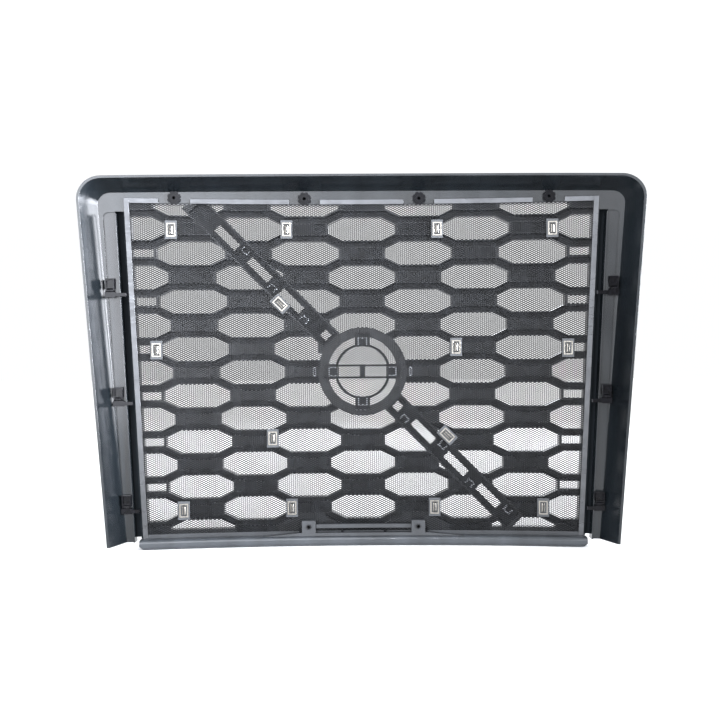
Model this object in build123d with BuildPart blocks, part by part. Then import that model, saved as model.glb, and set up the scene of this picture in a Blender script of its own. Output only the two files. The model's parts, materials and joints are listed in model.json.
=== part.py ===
from build123d import *
import math
import os

# Front grille of a heavy road vehicle, in millimetres.
# +X is to the right when the back is looked at, +Y is the way the vehicle drives, +Z is up.
# The grille is bowed in plan: every moulding follows an arc about one upright axis, and a depth
# is measured along that arc's radius, from the lattice's back face, positive to the front.

# ---- driving dimensions ----
BOW_RADIUS = 2800.0          # plan radius of the lattice's back face
APEX_Y = 45.6                # Y of the lattice's back face on the centre line
REACH = 640.0                # half length of every bowed sheet before it is cut to its outline
THROUGH = 300.0              # extrusion that passes the whole depth of the grille
TALL = 900.0                 # and the whole height
BELOW_Z = -50.0              # safely under and behind the grille's floor

SHELL_WALL = 4.5             # wall and floor thickness of the surround
RIM_DEPTH = -60.0            # depth of the surround's rim
ARCH_SLOPE = 0.0709          # growth of the arch's half width per unit of height
SHELL_FRONT_Y = 52.0         # the wall runs between an arch on this plane
FRONT_HALF = 471.0           # half width at the bottom, shoulder and crown heights, corner radius
FRONT_SHOULDER = 712.0
FRONT_CROWN = 736.0
FRONT_CORNER = 9.0
SHELL_BACK_Y = -90.0         # and a wider arch on this one
BACK_HALF = 518.0
BACK_SHOULDER = 754.0
BACK_CROWN = 788.0
BACK_CORNER = 56.0
ARM_FOOT_Z = 14.0            # lower ends of the surround's arms

SCREEN_HALF_LOW = 439.5      # half width of the screen's free area at the bottom
SCREEN_SLOPE = 0.0487
SCREEN_LOW_Z = 28.5
SCREEN_TOP_Z = 706.0
EDGE_WIDTH = 10.0            # width of the screen's edging
SLOT_WIDTH = 16.0            # dark slot beside the screen
RAIL_SLOPE = 0.0568
RAIL_TOP_Z = 684.0

RAIL_OUTER_LOW = 484.5       # outer edge of the side rail's strip at the bottom
RAIL_FOOT_Z = 8.0
RAIL_WALL = 3.0
RAIL_BACK = -6.0             # back face of the side rail's strip
RAIL_WALL_FRONT = 18.0
RAIL_CORNER = 9.0
RAIL_GROOVE = 2.2            # groove in the surround's floor round the side rail
RAIL_GROOVE_DEPTH = 3.0

BEZEL_FRONT = 27.0
BEZEL_WALL = 3.5
BEZEL_GAP = 1.5              # air round the lattice's border
BEZEL_LIP = 4.5              # thickness of the lip that laps over the lattice's border
BEZEL_FRONT_Y = 80.0
BEZEL_FRONT_HALF = 462.0
BEZEL_FRONT_SHOULDER = 706.0
BEZEL_FRONT_CROWN = 731.0
BEZEL_FRONT_CORNER = 16.0
BEZEL_CHAMFER = 4.0
BEZEL_FOOT_Z = 20.6

LATTICE_THICK = 22.0
LATTICE_LOW_Z = 20.3
LATTICE_TOP_Z = 715.6
COLUMN_PITCH_LOW = 109.9     # column pitch at the bottom
COLUMN_PITCH_SLOPE = 0.01218
ROW_PITCH = 96.3
ROW_PITCH_GAIN = 0.8         # rows open up a little towards the top
BOSS_Z = 359.0
OPENING_SHARE = 0.59         # half length of an opening over the column pitch
OPENING_HALF_HEIGHT = 23.9
OPENING_END_HALF = 9.9
OPENING_SLANT = 29.0
RIB_WALL = 2.2
GROOVE_REACH = 13.5          # outer edge of the groove round an opening
GROOVE_DEPTH = 14.0
GROOVE_END_REACH = 10.0      # grooves stop short of the panels at an opening's ends
GROOVE_END_LENGTH = 24.0
PANEL_LENGTH = 84.0
PANEL_HEIGHT = 21.0
PANEL_DEPTH = 3.0

STRUT_WIDTH = 46.0
STRUT_WALL = 4.0
STRUT_CHANNEL_DEPTH = 12.0
STRUT_WINDOW = (59.0, 16.5)
STRUT_UPPER = 500.0          # reach of the strut from the boss towards the upper left
STRUT_LOWER = 446.0          # and towards the lower right
STRUT_CHANNELS = [(-484.0, -92.0), (92.0, 438.0)]
STRUT_WINDOW_PLACES = [-395.0, -301.0, -209.0, 179.0, 275.0, 369.0]
STRUT_SMALL_PLACES = [-108.0, 104.0]
STRUT_CLIP_PLACES = [(-348, 1), (-255, -1), (-162, -1), (132, -1), (227, 1), (322, -1), (416, 1)]
SIDE_WINDOW_LENGTH = 44.0
SIDE_WINDOW_RIB = 5.0
SIDE_WINDOW_HEIGHT = 16.5
FREE_LOW_Z = 36.0
FREE_TOP_Z = 704.5
BOSS_RADIUS = 92.0
BOSS_BORE = 72.0
SEAT_OUTER = 58.0
SEAT_INNER = 52.5
SEAT_TAB_WIDTH = 31.0
SEAT_TAB_REACH = 80.0
SEAT_BACK = 6.0
SEAT_FRONT = 14.0
BADGE_RADIUS = 75.0          # round recess for a badge, open to the front, in front of the seat ring
BADGE_FLOOR_Y = 60.4
SEAT_BAR_HEIGHT = 29.0
SEAT_BAR_RIB = 4.0
SEAT_BAR_POST = 10.6         # post in the middle of the bar, between two long holes
SEAT_BAR_HOLE_LENGTH = 44.0
SEAT_CLIP_SIZE = (16.0, 20.0, 2.6)
SEAT_CLIP_RADIUS = 63.0
SEAT_CLIP_BACK = 1.0
STRUT_CLIP_SIZE = (13.0, 17.0, 2.6)
STRUT_CLIP_OFFSET = 8.0
STRUT_CLIP_BACK = 4.0

TOP_BOSS_X = [-384.0, -118.6, 118.6, 384.0]
TOP_BOSS_Z = 717.0
TOP_TAB_WIDTH = 62.0         # tabs of the surround's floor that carry the top bosses
TOP_TAB_LOW_Z = 706.5
SCREW_RADIUS = 3.3           # clearance hole for the fixing screws
SCREW_ROOM = (7.0, 18.0)     # radius and length of the room for a screw's end in front of the floor

LATCH_HEIGHTS = {"upper": 531.0, "middle": 311.0, "lower": 92.0}
LATCH_HALF_LOW = 474.5       # sideways place of the latches, and its growth with height
LATCH_SLOPE = 0.0655
LATCH_HALF_WIDTH = 9.2
LATCH_BODY_TALL = 20.0
LATCH_HEIGHT = 12.0          # rise of the latch body off the side rail
LATCH_POCKET = 5.0
LATCH_WALL = 2.5
LATCH_EAR = 3.0
LATCH_EAR_X = 7.7
LATCH_EAR_RADIUS = 3.0       # the ears' lower ends are round about the pin, clear of the lever's plate
LATCH_EAR_TALL = 4.5
LATCH_PIN_RADIUS = 1.6
LATCH_PIN_LIFT = 6.5         # hinge line's place off the side rail
LATCH_PIN_Z = -4.0           # and below the body
LATCH_KNUCKLE = 11.6
LATCH_KNUCKLE_RADIUS = 3.6
LATCH_PLATE_DROP = 7.2
LATCH_PLATE_TALL = 11.0
LATCH_PLATE_WIDE = 22.0
LATCH_PLATE_THICK = 5.0
LATCH_ARM_TALL = 7.0
LATCH_TOE = 6.0
LATCH_TOE_GAP = 4.5          # middle of the toe outside the screen's edging

SCREEN_GAP = 0.3             # air between neighbouring pieces
SCREEN_BACK = -1.4
SCREEN_FRONT_GAP = 0.2
EDGING_THICK = 2.2
NOTCH_LOW_Z = 704.5          # notches in the screen and its top edging, at the top bosses
NOTCH_WIDTH = 64.0
NOTCH_TALL = 40.0
CLIP_PLATE = (24.0, 38.0)
CLIP_INNER = (18.0, 28.0)
CLIP_BACK = -4.4
TOP_BOSS_RADIUS = 9.0
TOP_BOSS_HEIGHT = 8.0
TOP_COLLAR_LIFT = 5.0
TOP_COLLAR_RADIUS = 14.0
TOP_COLLAR_THICK = 1.8
TOP_COLLAR_SCALLOP = 2.2

RAIL_BAR_BACK = -24.0        # lower rail
RAIL_BAR_HEIGHT = 20.0
RAIL_BAR_HALF = 455.0
RAIL_BAR_NOSE = 8.0
RAIL_BAR_ROUND = 7.0

BRACKET_HOLE_X = 113.0
BRACKET_BOLTS = [-BRACKET_HOLE_X, BRACKET_HOLE_X]
BRACKET_HOLE_Z = 39.5
BRACKET_BAR_HEIGHT = 8.0
BRACKET_FRONT = -5.2
BRACKET_BACK = -22.0
BRACKET_BAR_BACK = -14.0
BRACKET_LOW_Z = 20.3
BRACKET_LEDGE_Z = 27.0
BRACKET_LEDGE_X = 134.0
BRACKET_SHOULDER_X = 208.0
BRACKET_BLOCK = (28.0, 26.0)
BRACKET_BLOCK_MID_Z = 39.0
BRACKET_PEG_X = [-130.5, -44.0, 44.0, 130.5]
BRACKET_PEG_RADIUS = 2.5
BRACKET_PEG_HEIGHT = 5.0
SLEEVE_RADIUS = 5.5
SLEEVE_LENGTH = 17.0
BLADE_SIZE = (2.6, 18.0)
BLADE_BACK = -7.5

os.makedirs("parts", exist_ok=True)


# ---- shared geometry ----
def bow_y(x, depth=0.0):
    """Y of the bowed surface at a sideways place and a depth."""
    return APEX_Y - BOW_RADIUS + math.sqrt((BOW_RADIUS + depth) ** 2 - x ** 2)


def band(back, front, reach=REACH, height=0.0):
    """Plan of a bowed sheet between two depths."""
    with BuildSketch(Plane.XY.offset(height)) as plan:
        with BuildLine():
            nose = ThreePointArc(
                (-reach, bow_y(reach, front)), (0, bow_y(0, front)), (reach, bow_y(reach, front))
            )
            Line(nose @ 1, (reach, bow_y(reach, back)))
            tail = ThreePointArc(
                (reach, bow_y(reach, back)), (0, bow_y(0, back)), (-reach, bow_y(reach, back))
            )
            Line(tail @ 1, nose @ 0)
        make_face()
    return plan.sketch


def arch(plane_y, half_low, shoulder, crown, radius):
    """Inverted U outline seen from the back, on a plane across the vehicle."""
    top = half_low + ARCH_SLOPE * shoulder
    with BuildSketch(Plane.XZ.offset(-plane_y)) as outline:
        with BuildLine():
            arc = ThreePointArc((-top, shoulder), (0, crown), (top, shoulder))
            Line(arc @ 1, (half_low, 0))
            Line((half_low, 0), (-half_low, 0))
            Line((-half_low, 0), arc @ 0)
        make_face()
        fillet(outline.vertices().sort_by(Axis.Y)[-2:], radius)
    return outline.sketch


def back_arch(inset):
    """Outline that the surround's and the bezel's walls share at the rear."""
    half = BACK_HALF - inset
    return arch(SHELL_BACK_Y, half, BACK_SHOULDER - inset, BACK_CROWN - inset, BACK_CORNER - inset)


def shell_form(inset):
    """Front and back outlines of the surround's sloping wall, drawn in by an even distance."""
    half = FRONT_HALF - inset
    front = arch(SHELL_FRONT_Y, half, FRONT_SHOULDER - inset, FRONT_CROWN - inset, FRONT_CORNER)
    return [front, back_arch(inset)]


def bezel_form(inset):
    """Front and back outlines of the bezel's outer wall, drawn in by an even distance."""
    half = BEZEL_FRONT_HALF - inset
    shoulder = BEZEL_FRONT_SHOULDER - inset
    crown = BEZEL_FRONT_CROWN - inset
    front = arch(BEZEL_FRONT_Y, half, shoulder, crown, BEZEL_FRONT_CORNER - inset)
    return [front, back_arch(inset)]


def upright(half_low, slope, low_z, top_z):
    """Trapezium seen from the back that widens with height."""
    low = half_low + slope * low_z
    top = half_low + slope * top_z
    with BuildSketch(Plane.XZ) as outline:
        with BuildLine():
            Polyline((-low, low_z), (low, low_z), (top, top_z), (-top, top_z), close=True)
        make_face()
    return outline.sketch


def side_strip(inner, outer, low_z, top_z, side):
    """Strip between two sloping edges, each given as half width at the bottom and slope."""
    corners = [
        (side * (inner[0] + inner[1] * low_z), low_z),
        (side * (outer[0] + outer[1] * low_z), low_z),
        (side * (outer[0] + outer[1] * top_z), top_z),
        (side * (inner[0] + inner[1] * top_z), top_z),
    ]
    with BuildSketch(Plane.XZ) as outline:
        with BuildLine():
            Polyline(*corners, close=True)
        make_face()
    return outline.sketch


def top_notches(low_z, width):
    """One rectangle at each top boss, from a height up past the top of the grille's floor."""
    with BuildSketch(Plane.XZ) as outline:
        for x in TOP_BOSS_X:
            with Locations((x, low_z)):
                Rectangle(width, NOTCH_TALL, align=(Align.CENTER, Align.MIN))
    return outline.sketch


def screw_room():
    """Room for the ends of the top screws: one short cylinder in front of each boss."""
    with BuildPart() as room:
        for x in TOP_BOSS_X:
            with BuildSketch(Plane.XZ.offset(-bow_y(x))):
                with Locations((x, TOP_BOSS_Z)):
                    Circle(SCREW_ROOM[0])
            extrude(amount=-SCREW_ROOM[1])
    return room.part


def latch_x(height):
    """Half width at which a side latch stands."""
    return LATCH_HALF_LOW + LATCH_SLOPE * height


def latch_seat_y(height):
    """Y of the side rail's back face at the outer edge of a latch."""
    return bow_y(latch_x(height) + LATCH_HALF_WIDTH, RAIL_BACK)


def column_x(column, height):
    return column * (COLUMN_PITCH_LOW + COLUMN_PITCH_SLOPE * height)


def row_z(row):
    return BOSS_Z + ROW_PITCH * row + ROW_PITCH_GAIN * row ** 2


def opening_points(column, row, grow=0.0):
    """Corners of one eight-sided opening, grown outwards by an even distance."""
    height = row_z(row)
    centre = column_x(column, height)
    half = OPENING_SHARE * column_x(1, height)
    rise = OPENING_HALF_HEIGHT - OPENING_END_HALF
    slant = math.hypot(OPENING_SLANT, rise)
    normal_x = rise / slant
    normal_z = OPENING_SLANT / slant
    end = half + grow
    flat = half - OPENING_SLANT + grow * (1 - normal_z) / normal_x
    top = OPENING_HALF_HEIGHT + grow
    end_half = OPENING_END_HALF + grow * (1 - normal_x) / normal_z
    quarter = [(end, end_half), (flat, top), (-flat, top), (-end, end_half)]
    ring = quarter + [(-x, -z) for x, z in quarter]
    return [(centre + x, height + z) for x, z in ring]


COLUMNS = range(-4, 5)
ROWS = {0: [-3, -2, -1, 0, 1, 2, 3], 1: [-3.5, -2.5, -1.5, -0.5, 0.5, 1.5, 2.5, 3.5]}
ALL_OPENINGS = [(column, row) for column in COLUMNS for row in ROWS[column % 2]]
# the lower bracket closes the lowest opening on either side of the centre line
OPENINGS = [(column, row) for column, row in ALL_OPENINGS if (abs(column), row) != (1, -3.5)]
BARS = [(column, row) for column in COLUMNS for row in ROWS[1 - column % 2]]

STRUT_PLANE = Plane(origin=(0, 0, BOSS_Z), x_dir=(1, 0, -1), z_dir=(0, -1, 0))

# places of the push-on clips: sideways, height, turn in degrees
CLIP_PLACES = [
    (-391.0, 652.0, 0.0),
    (-156.0, 654.0, 0.0),
    (156.0, 654.0, 0.0),
    (391.0, 652.0, 0.0),
    (-421.5, 406.0, 0.0),
    (194.0, 409.0, 0.0),
    (421.5, 406.0, 0.0),
    (-170.0, 500.0, -45.0),
    (175.0, 226.0, -45.0),
    (-187.0, 222.0, 0.0),
    (-369.0, 76.0, 0.0),
    (-148.0, 77.0, 0.0),
    (148.0, 77.0, 0.0),
    (370.0, 77.0, 0.0),
]

slot_edge = SCREEN_HALF_LOW + EDGE_WIDTH + SLOT_WIDTH
lattice_edge = SCREEN_HALF_LOW + EDGE_WIDTH


def rail_strip(side, grow):
    """Outline of a side rail's strip, its upper outer corner rounded, grown at its outer edge and top."""
    outer = (RAIL_OUTER_LOW + grow, RAIL_SLOPE)
    inner = (slot_edge - grow, SCREEN_SLOPE)
    with BuildSketch(Plane.XZ) as outline:
        add(side_strip(inner, outer, RAIL_FOOT_Z, RAIL_TOP_Z + grow, side))
        top_corners = outline.vertices().sort_by(Axis.Y)[-2:]
        fillet(top_corners.sort_by(Axis.X)[-1 if side > 0 else 0], RAIL_CORNER + grow)
    return outline.sketch


# ---- surround: a shallow tub open at the bottom ----
with BuildPart() as tub_inside:
    loft(shell_form(SHELL_WALL), ruled=True)
    extrude(band(-300, 0), amount=TALL, mode=Mode.INTERSECT)

with BuildPart() as lattice_window:
    window = upright(lattice_edge + 2 * SCREEN_GAP, SCREEN_SLOPE, 0, LATTICE_TOP_Z + 2 * SCREEN_GAP)
    extrude(window, amount=THROUGH, both=True)
    extrude(top_notches(TOP_TAB_LOW_Z, TOP_TAB_WIDTH), amount=THROUGH, both=True, mode=Mode.SUBTRACT)

with BuildPart() as rail_grooves:
    for side in (-1, 1):
        extrude(rail_strip(side, RAIL_GROOVE), amount=THROUGH, both=True)
    for side in (-1, 1):
        extrude(rail_strip(side, -SCREEN_GAP), amount=THROUGH, both=True, mode=Mode.SUBTRACT)
    extrude(band(-2 * SCREEN_GAP, RAIL_GROOVE_DEPTH), amount=TALL, mode=Mode.INTERSECT)

with BuildPart() as surround_shell:
    loft(shell_form(0), ruled=True)
    extrude(band(RIM_DEPTH, SHELL_WALL, height=ARM_FOOT_Z), amount=TALL, mode=Mode.INTERSECT)
    add(tub_inside.part, mode=Mode.SUBTRACT)
    slots = upright(slot_edge + RAIL_WALL + SCREEN_GAP, SCREEN_SLOPE, 0, RAIL_TOP_Z + 4)
    extrude(slots, amount=THROUGH, both=True, mode=Mode.SUBTRACT)
    add(lattice_window.part, mode=Mode.SUBTRACT)
    add(rail_grooves.part, mode=Mode.SUBTRACT)
    with BuildSketch(Plane.XZ):
        with Locations(*[(x, TOP_BOSS_Z) for x in TOP_BOSS_X]):
            Circle(SCREW_RADIUS)
    extrude(amount=THROUGH, both=True, mode=Mode.SUBTRACT)
surround_shell.part.label = "surround_shell"
export_step(surround_shell.part, "parts/surround_shell.step")

# ---- front bezel: hollow show-face frame in front of the surround's floor ----
with BuildPart() as bezel_core:
    loft(bezel_form(BEZEL_WALL), ruled=True)
    extrude(band(BELOW_Z, BEZEL_FRONT - BEZEL_LIP), amount=TALL, mode=Mode.INTERSECT)
    web_edge = lattice_edge + BEZEL_GAP + BEZEL_WALL
    extrude(
        upright(web_edge, SCREEN_SLOPE, BELOW_Z, LATTICE_TOP_Z + BEZEL_GAP + BEZEL_WALL),
        amount=THROUGH,
        both=True,
        mode=Mode.SUBTRACT,
    )

with BuildPart() as bezel_rebate:
    rebate = upright(lattice_edge + BEZEL_GAP, SCREEN_SLOPE, BELOW_Z, LATTICE_TOP_Z + BEZEL_GAP)
    extrude(rebate, amount=THROUGH, both=True)
    extrude(band(BELOW_Z, LATTICE_THICK + 0.5), amount=TALL, mode=Mode.INTERSECT)

with BuildPart() as front_bezel:
    loft(bezel_form(0), ruled=True)
    bezel_depth = band(SHELL_WALL + SCREEN_GAP, BEZEL_FRONT, height=BEZEL_FOOT_Z)
    extrude(bezel_depth, amount=TALL, mode=Mode.INTERSECT)
    opening = upright(SCREEN_HALF_LOW + 1, SCREEN_SLOPE, BELOW_Z, FREE_TOP_Z + 1)
    extrude(opening, amount=THROUGH, both=True, mode=Mode.SUBTRACT)
    front_face = front_bezel.faces().filter_by(GeomType.CYLINDER).sort_by(SortBy.RADIUS)[-1]
    rim_edges = front_face.edges().filter_by(lambda edge: edge.center().Z > BEZEL_FOOT_Z + 1)
    chamfer(rim_edges, BEZEL_CHAMFER)
    add(bezel_core.part, mode=Mode.SUBTRACT)
    add(bezel_rebate.part, mode=Mode.SUBTRACT)
    add(screw_room(), mode=Mode.SUBTRACT)
front_bezel.part.label = "front_bezel"
export_step(front_bezel.part, "parts/front_bezel.step")

# ---- side rails: a flat strip with a wall that lines the dark slot ----
for side, side_name in ((-1, "left"), (1, "right")):
    strip_inner = (slot_edge, SCREEN_SLOPE)
    wall_outer = (slot_edge + RAIL_WALL, SCREEN_SLOPE)
    with BuildPart() as rail_wall:
        wall = side_strip(strip_inner, wall_outer, ARM_FOOT_Z, RAIL_TOP_Z, side)
        extrude(wall, amount=THROUGH, both=True)
        extrude(band(RAIL_BACK, RAIL_WALL_FRONT), amount=TALL, mode=Mode.INTERSECT)
    with BuildPart() as side_rail:
        extrude(rail_strip(side, 0), amount=THROUGH, both=True)
        extrude(band(RAIL_BACK, -SCREEN_GAP), amount=TALL, mode=Mode.INTERSECT)
        add(rail_wall.part)
    side_rail.part.label = side_name + "_side_rail"
    export_step(side_rail.part, "parts/" + side_rail.part.label + ".step")

# ---- lattice insert ----
strut_middle = (STRUT_LOWER - STRUT_UPPER) / 2
strut_length = STRUT_LOWER + STRUT_UPPER

with BuildPart() as strut_body:
    with BuildSketch(STRUT_PLANE):
        with Locations((strut_middle, 0)):
            Rectangle(strut_length, STRUT_WIDTH)
    extrude(amount=THROUGH, both=True)
    with BuildSketch(Plane.XZ):
        with Locations((0, BOSS_Z)):
            Circle(BOSS_RADIUS)
        with Locations((-BOSS_RADIUS + 22, BOSS_Z + BOSS_RADIUS - 32)):
            Rectangle(44, 44)
    extrude(amount=THROUGH, both=True)
    extrude(band(SCREEN_GAP, LATTICE_THICK), amount=TALL, mode=Mode.INTERSECT)
    lattice_outline = upright(lattice_edge, SCREEN_SLOPE, LATTICE_LOW_Z, LATTICE_TOP_Z)
    extrude(lattice_outline, amount=THROUGH, both=True, mode=Mode.INTERSECT)

with BuildPart() as strut_channels:
    with BuildSketch(STRUT_PLANE):
        for low, high in STRUT_CHANNELS:
            with Locations(((low + high) / 2, 0)):
                Rectangle(high - low, STRUT_WIDTH - 2 * STRUT_WALL)
    extrude(amount=THROUGH, both=True)
    extrude(band(-20, STRUT_CHANNEL_DEPTH), amount=TALL, mode=Mode.INTERSECT)

with BuildPart() as lattice_grooves:
    with BuildSketch(Plane.XZ):
        for column, row in OPENINGS:
            with BuildLine():
                Polyline(*opening_points(column, row, GROOVE_REACH), close=True)
            make_face()
        for column, row in OPENINGS:
            with BuildLine():
                Polyline(*opening_points(column, row, RIB_WALL), close=True)
            make_face(mode=Mode.SUBTRACT)
            height = row_z(row)
            centre = column_x(column, height)
            end = OPENING_SHARE * column_x(1, height) + GROOVE_END_REACH
            with Locations((centre - end, height), (centre + end, height)):
                Rectangle(GROOVE_END_LENGTH, PANEL_HEIGHT + 2 * RIB_WALL, mode=Mode.SUBTRACT)
    extrude(amount=THROUGH, both=True)
    extrude(band(-20, GROOVE_DEPTH), amount=TALL, mode=Mode.INTERSECT)

with BuildPart() as lattice_panels:
    with BuildSketch(Plane.XZ):
        for column, row in BARS:
            height = row_z(row)
            with Locations((column_x(column, height), height)):
                Rectangle(PANEL_LENGTH, PANEL_HEIGHT)
    extrude(amount=THROUGH, both=True)
    extrude(band(-20, PANEL_DEPTH), amount=TALL, mode=Mode.INTERSECT)

free_area = upright(SCREEN_HALF_LOW - 1, SCREEN_SLOPE, FREE_LOW_Z, FREE_TOP_Z)

with BuildPart() as lattice_holes:
    with BuildSketch(Plane.XZ):
        for column, row in OPENINGS:
            with BuildLine():
                Polyline(*opening_points(column, row), close=True)
            make_face()
        for row in ROWS[1][1:-1]:
            end_x = column_x(3 + OPENING_SHARE, row_z(row)) + SIDE_WINDOW_RIB + SIDE_WINDOW_LENGTH / 2
            with Locations((-end_x, row_z(row)), (end_x, row_z(row))):
                Rectangle(SIDE_WINDOW_LENGTH, SIDE_WINDOW_HEIGHT)
    extrude(amount=THROUGH, both=True)
    extrude(free_area, amount=THROUGH, both=True, mode=Mode.INTERSECT)

with BuildPart() as clip_blades:
    with BuildSketch(Plane.XZ):
        for x, z, turn in CLIP_PLACES:
            with Locations(Location((x, z), -turn)):
                Rectangle(*BLADE_SIZE)
    extrude(amount=THROUGH, both=True)
    extrude(band(BLADE_BACK, PANEL_DEPTH + 2), amount=TALL, mode=Mode.INTERSECT)

with BuildPart() as seat_notches:
    with BuildSketch(Plane.XZ):
        with Locations((0, BOSS_Z)):
            Rectangle(2 * SEAT_TAB_REACH + 0.6, SEAT_TAB_WIDTH + 0.6)
            Rectangle(SEAT_TAB_WIDTH + 0.6, 2 * SEAT_TAB_REACH + 0.6)
    extrude(amount=THROUGH, both=True)
    extrude(band(-LATTICE_THICK, SEAT_FRONT + SCREEN_GAP), amount=TALL, mode=Mode.INTERSECT)

with BuildPart() as lattice_insert:
    extrude(upright(lattice_edge, SCREEN_SLOPE, LATTICE_LOW_Z, LATTICE_TOP_Z), amount=THROUGH, both=True)
    extrude(band(SCREEN_GAP, LATTICE_THICK), amount=TALL, mode=Mode.INTERSECT)
    add(lattice_holes.part, mode=Mode.SUBTRACT)
    add(lattice_grooves.part, mode=Mode.SUBTRACT)
    add(lattice_panels.part, mode=Mode.SUBTRACT)
    add(strut_body.part)
    add(strut_channels.part, mode=Mode.SUBTRACT)
    with BuildSketch(STRUT_PLANE):
        for place in STRUT_WINDOW_PLACES:
            with Locations((place, 0)):
                Rectangle(*STRUT_WINDOW)
        for place in STRUT_SMALL_PLACES:
            with Locations((place, 0)):
                Rectangle(STRUT_WINDOW[1], STRUT_WINDOW[1])
    extrude(amount=THROUGH, both=True, mode=Mode.SUBTRACT)
    with BuildSketch(Plane.XZ):
        with Locations((0, BOSS_Z)):
            Circle(BOSS_BORE)
    extrude(amount=THROUGH, both=True, mode=Mode.SUBTRACT)
    tab_clearance = top_notches(TOP_TAB_LOW_Z - 2 * SCREEN_GAP, TOP_TAB_WIDTH + 4 * SCREEN_GAP)
    extrude(tab_clearance, amount=THROUGH, both=True, mode=Mode.SUBTRACT)
    add(seat_notches.part, mode=Mode.SUBTRACT)
    with BuildSketch(Plane.XZ.offset(-BADGE_FLOOR_Y)):
        with Locations((0, BOSS_Z)):
            Circle(BADGE_RADIUS)
    extrude(amount=-THROUGH, mode=Mode.SUBTRACT)
    add(screw_room(), mode=Mode.SUBTRACT)
    add(clip_blades.part)
lattice_insert.part.label = "lattice_insert"
export_step(lattice_insert.part, "parts/lattice_insert.step")

# ---- seat ring in the boss, and its cross bar ----
with BuildPart() as seat_ring:
    with BuildSketch(Plane.XZ):
        with Locations((0, BOSS_Z)):
            Rectangle(2 * SEAT_TAB_REACH, SEAT_TAB_WIDTH)
            Rectangle(SEAT_TAB_WIDTH, 2 * SEAT_TAB_REACH)
            Circle(SEAT_OUTER)
            Circle(SEAT_INNER, mode=Mode.SUBTRACT)
    extrude(amount=THROUGH, both=True)
    extrude(band(SEAT_BACK, SEAT_FRONT), amount=TALL, mode=Mode.INTERSECT)
seat_ring.part.label = "seat_ring"
export_step(seat_ring.part, "parts/seat_ring.step")

with BuildPart() as seat_bar:
    with BuildSketch(Plane.XZ):
        with Locations((0, BOSS_Z)):
            Circle(SEAT_INNER - SCREEN_GAP)
            Rectangle(2 * SEAT_INNER, SEAT_BAR_HEIGHT, mode=Mode.INTERSECT)
        hole_x = (SEAT_BAR_POST + SEAT_BAR_HOLE_LENGTH) / 2
        with Locations((-hole_x, BOSS_Z), (hole_x, BOSS_Z)):
            Rectangle(SEAT_BAR_HOLE_LENGTH, SEAT_BAR_HEIGHT - 2 * SEAT_BAR_RIB, mode=Mode.SUBTRACT)
    extrude(amount=THROUGH, both=True)
    extrude(band(SEAT_BACK, SEAT_FRONT), amount=TALL, mode=Mode.INTERSECT)
seat_bar.part.label = "seat_bar"
export_step(seat_bar.part, "parts/seat_bar.step")


def u_clip(length, width, wall):
    """Plan of a U-shaped clip that opens to its own left."""
    with BuildSketch() as plan:
        Rectangle(length, width)
        with Locations((-wall / 2, 0)):
            Rectangle(length - wall, width - 2 * wall, mode=Mode.SUBTRACT)
    return plan.sketch


with BuildPart() as seat_clips:
    with BuildSketch(Plane.XZ):
        with Locations((0, BOSS_Z)):
            with PolarLocations(SEAT_CLIP_RADIUS, 4):
                add(u_clip(*SEAT_CLIP_SIZE))
    extrude(amount=THROUGH, both=True)
    extrude(band(SEAT_CLIP_BACK, SEAT_BACK - SCREEN_GAP), amount=TALL, mode=Mode.INTERSECT)
seat_clips.part.label = "seat_clips"
export_step(seat_clips.part, "parts/seat_clips.step")

with BuildPart() as strut_clips:
    for place, side in STRUT_CLIP_PLACES:
        with BuildSketch(STRUT_PLANE):
            with Locations(Location((place, side * STRUT_CLIP_OFFSET), -90 * side)):
                add(u_clip(*STRUT_CLIP_SIZE))
        extrude(amount=THROUGH, both=True)
    extrude(band(STRUT_CLIP_BACK, STRUT_CHANNEL_DEPTH - SCREEN_GAP), amount=TALL, mode=Mode.INTERSECT)
strut_clips.part.label = "strut_clips"
export_step(strut_clips.part, "parts/strut_clips.step")

with BuildPart() as boss_side_clips:
    with BuildSketch(Plane.XZ):
        for side in (-1, 1):
            with Locations((side * (BOSS_RADIUS + 8), BOSS_Z)):
                Rectangle(6, PANEL_HEIGHT - 2)
                Rectangle(2.4, PANEL_HEIGHT - 6, mode=Mode.SUBTRACT)
    extrude(amount=THROUGH, both=True)
    extrude(band(SCREEN_GAP, PANEL_DEPTH - SCREEN_GAP), amount=TALL, mode=Mode.INTERSECT)
boss_side_clips.part.label = "boss_side_clips"
export_step(boss_side_clips.part, "parts/boss_side_clips.step")

# ---- screen: one sheet, slotted for the lattice's blades and notched for the top bosses ----
with BuildPart() as screen_mesh:
    screen_edge = SCREEN_HALF_LOW + EDGE_WIDTH - 0.5
    sheet = upright(screen_edge, SCREEN_SLOPE, LATTICE_LOW_Z + 0.5, LATTICE_TOP_Z)
    extrude(sheet, amount=THROUGH, both=True)
    extrude(band(SCREEN_BACK, -SCREEN_FRONT_GAP), amount=TALL, mode=Mode.INTERSECT)
    with BuildSketch(Plane.XZ):
        for x, z, turn in CLIP_PLACES:
            with Locations(Location((x, z), -turn)):
                Rectangle(BLADE_SIZE[0] + 1, BLADE_SIZE[1] + 1)
    extrude(amount=THROUGH, both=True, mode=Mode.SUBTRACT)
    extrude(top_notches(NOTCH_LOW_Z, NOTCH_WIDTH), amount=THROUGH, both=True, mode=Mode.SUBTRACT)
screen_mesh.part.label = "screen_mesh"
export_step(screen_mesh.part, "parts/screen_mesh.step")

# ---- screen edging ----
free_side = (SCREEN_HALF_LOW, SCREEN_SLOPE)
edge_side = (lattice_edge, SCREEN_SLOPE)
edging_back = SCREEN_BACK - SCREEN_GAP - EDGING_THICK

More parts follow.
